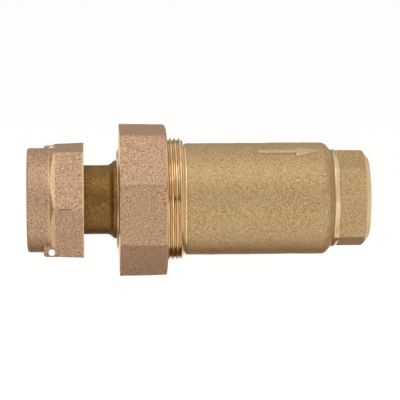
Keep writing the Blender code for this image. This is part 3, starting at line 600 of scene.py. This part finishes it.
for module in ("inlet_check", "outlet_check"):
    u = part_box(f"{module}_housing")[0].x / MM
    housing = turned(
        f"{module}_cage",
        [
            (u, 11.2, 0.3), (u, 16.7, 0.4), (u + 2.2, 16.7, 0.1), (u + 2.2, 14.2, 0.1), (u + 5.2, 14.2, 0.1),
            (u + 5.2, 16.7, 0.1), (u + 7.1, 16.7, 0.3), (u + 8.0, 16.4, 0.3), (u + 30.8, 16.4, 0.3),
            (u + 30.8, 14.0, 0.3), (u + 29.6, 13.2, 0.3), (u + 28.3, 13.2, 0.1), (u + 28.3, 14.2, 0.1),
            (u + 25.3, 14.2, 0.1), (u + 25.3, 13.4, 0.1), (u + 7.1, 13.4, 0.5), (u + 7.1, 12.0, 0.3),
            (u + 8.0, 11.5, 0.15), (u + 8.0, 10.9, 0.15), (u + 7.1, 10.4, 0.5), (u + 0.8, 10.4, 0.4),
        ],
        acetal, "valve_body", "acetal", f"{module}_housing",
    )
    for i in range(4):
        slot = window("slot", u + 8.7, u + 23, 12.4, 17.4, TURN * i / 4, math.radians(58))
        carve(housing, "DIFFERENCE", slot)
    guide = turned(
        f"{module}_guide",
        [
            (u + 25.4, 2.95, 0.2), (u + 25.4, 14.0, 0.4), (u + 28.2, 13.9, 0.3), (u + 28.2, 4.4, 0.4),
            (u + 29.4, 4.1, 0.3), (u + 29.4, 2.95, 0.2),
        ],
        acetal, "valve_body", "acetal", f"{module}_spring_guide",
    )
    for i in range(3):
        middle = math.radians(90) + TURN * i / 3
        slot = window("slot", u + 24.4, u + 29.2, 8.3, 11.8, middle, math.radians(92))
        carve(guide, "DIFFERENCE", slot)
    turned(
        f"{module}_plunger",
        [
            (u + 15.6, 0.05, 0), (u + 15.2, 2.2, 0.2), (u + 10.4, 2.2, 0.1), (u + 10.4, 12.15, 0.1),
            (u + 8.9, 12.15, 0.1), (u + 8.9, 12.8, 0.2), (u + 12.4, 12.85, 0.4), (u + 12.4, 4.2, 0.5),
            (u + 16.6, 4.0, 0.3), (u + 17.4, 2.6, 0.4), (u + 28.2, 2.6, 0.6), (u + 28.2, 0.05, 0),
        ],
        blue_acetal, module, "acetal_poppet", f"{module}_poppet", closed=False,
    )
    turned(
        f"{module}_disc_clip",
        [
            (u + 4.6, 0.05, 0), (u + 4.8, 3.4, 1.5), (u + 6.9, 9.0, 1.0), (u + 7.9, 9.2, 0.2),
            (u + 7.9, 4.75, 0.1), (u + 10.3, 4.75, 0.1), (u + 10.3, 2.05, 0.1), (u + 15.0, 2.05, 0.3),
            (u + 15.0, 0.05, 0),
        ],
        blue_acetal, module, "acetal_poppet", f"{module}_disc_retainer", closed=False,
    )
    disc = [(u + 8.1, 4.9, 0.1), (u + 8.1, 12.0, 0.2), (u + 10.3, 12.0, 0.2), (u + 10.3, 4.9, 0.1)]
    turned(f"{module}_rubber_disc", disc, rubber, module, "rubber", f"{module}_seal_disc")
    cord = TURN * np.arange(24)[:, None] / 24
    seal = around(u + 3.7 + 1.25 * np.cos(cord), 15.6 + 1.25 * np.sin(cord), angles(TURNED_SIDES)[None, :])
    finished(loft(f"{module}_seal_ring", seal, True), rubber, "valve_body", "rubber", f"{module}_o_ring")

    # The coil rises fast over its four middle turns and lies nearly flat over its two end turns
    coil = np.linspace(0, 6, 241)[:, None]
    wire_r, coil_r, spring_x = 0.42, 6.3, (u + 12.5, u + 25.3)
    travel = spring_x[1] - spring_x[0] - 2 * wire_r
    flat = 2 * wire_r / travel
    rise = flat * (np.minimum(coil, 1) + np.maximum(coil - 5, 0))
    rise = rise + (1 - 2 * flat) * np.clip((coil - 1) / 4, 0, 1)
    section = TURN * np.arange(12)[None, :] / 12
    wire_x = spring_x[0] + wire_r + travel * rise + wire_r * np.cos(section)
    wire = loft(f"{module}_coil", around(wire_x, coil_r + wire_r * np.sin(section), TURN * coil), False)
    finished(wire, stainless, "valve_body", "stainless", f"{module}_spring")
    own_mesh(wire)


# Stage. A pale floor so far below the part that no shadow shows, a wide soft light above and a
# weaker one at the front. Three dull cards that only the metal mirrors give it a darker middle, a
# golden underside and a duller top. The long lens looks slightly down, from the inlet's side.
bpy.context.scene.view_settings.view_transform = "Standard"


def dull(name, base, rough, glow=0.0):
    """A matt finish of one colour, which may glow faintly by itself."""
    made = bpy.data.materials.new(name)
    made.use_nodes = True
    inputs = made.node_tree.nodes["Principled BSDF"].inputs
    inputs["Base Color"].default_value = base
    inputs["Roughness"].default_value = rough
    inputs["Emission Color"].default_value = (1, 1, 1, 1)
    inputs["Emission Strength"].default_value = glow
    return made


floor_drop = 0.14
bpy.ops.mesh.primitive_plane_add(size=60, location=(0, 0, cad_box[0][2] - floor_drop))
floor = bpy.context.object
floor.name = "pale_floor"
floor.data.materials.append(dull("matt white paper", (0.93, 0.93, 0.93, 1), 0.9, 0.12))
world = bpy.data.worlds.new("studio")
bpy.context.scene.world = world
world.use_nodes = True
sky = world.node_tree.nodes["Background"].inputs
sky["Color"].default_value = (1.0, 0.99, 0.97, 1)
sky["Strength"].default_value = 0.92


def softbox(name, place, size, watts, tint=(1, 1, 1)):
    """A square area light aimed at the part."""
    lamp = bpy.data.lights.new(name, "AREA")
    lamp.size, lamp.energy, lamp.color = size, watts, tint
    made = bpy.data.objects.new(name, lamp)
    made.location = place
    made.rotation_euler = (-Vector(place)).to_track_quat("-Z", "Y").to_euler()
    bpy.context.scene.collection.objects.link(made)


softbox("top_softbox", (-0.15, -0.35, 0.8), 0.6, 1.5, (0.92, 0.97, 1))
softbox("front_softbox", (0.5, -1.2, 0.1), 0.7, 0.8)


def card(name, elevation, away, wide, high, code):
    """A dull card that faces the part and that only its metal mirrors.

    Its elevation is an angle about +X, counted up from the viewer's side.
    """
    angle = math.radians(elevation)
    place = (0, -away * math.cos(angle), away * math.sin(angle))
    bpy.ops.mesh.primitive_plane_add(size=1, location=place, rotation=(math.radians(90) - angle, 0, 0))
    made = bpy.context.object
    made.name = name
    made.scale = (wide, high, 1)
    made.visible_camera = made.visible_shadow = made.visible_diffuse = False
    made.data.materials.append(dull("dull felt", colour(code), 1.0))


card("camera_card", 15, 1.2, 0.7, 0.26, "#2a2624")
card("low_card", -107, 0.16, 0.5, 0.18, "#6a3f10")
card("rear_card", 165, 0.9, 1.2, 0.5, "#a8a29a")

frame_width, distance = 0.148, 0.95
swing, roll = math.radians(2.6), math.radians(0.12)
camera = bpy.data.objects.new("camera", bpy.data.cameras.new("camera"))
bpy.context.scene.collection.objects.link(camera)
camera.data.sensor_width = 36
camera.data.lens = 36 * distance / frame_width
aside, below = 0.00075, 0.00042
aim = Vector((aside, 0, 0)) - Vector(above) * below
swung = Matrix.Rotation(-swing, 3, "Z")
camera.location = aim + swung @ Vector(towards) * distance
level = swung @ Euler((math.radians(90) - view_tilt, 0, 0)).to_matrix()
camera.rotation_euler = (level @ Matrix.Rotation(roll, 3, "Z")).to_euler()
camera.data.clip_end = 20
bpy.context.scene.camera = camera
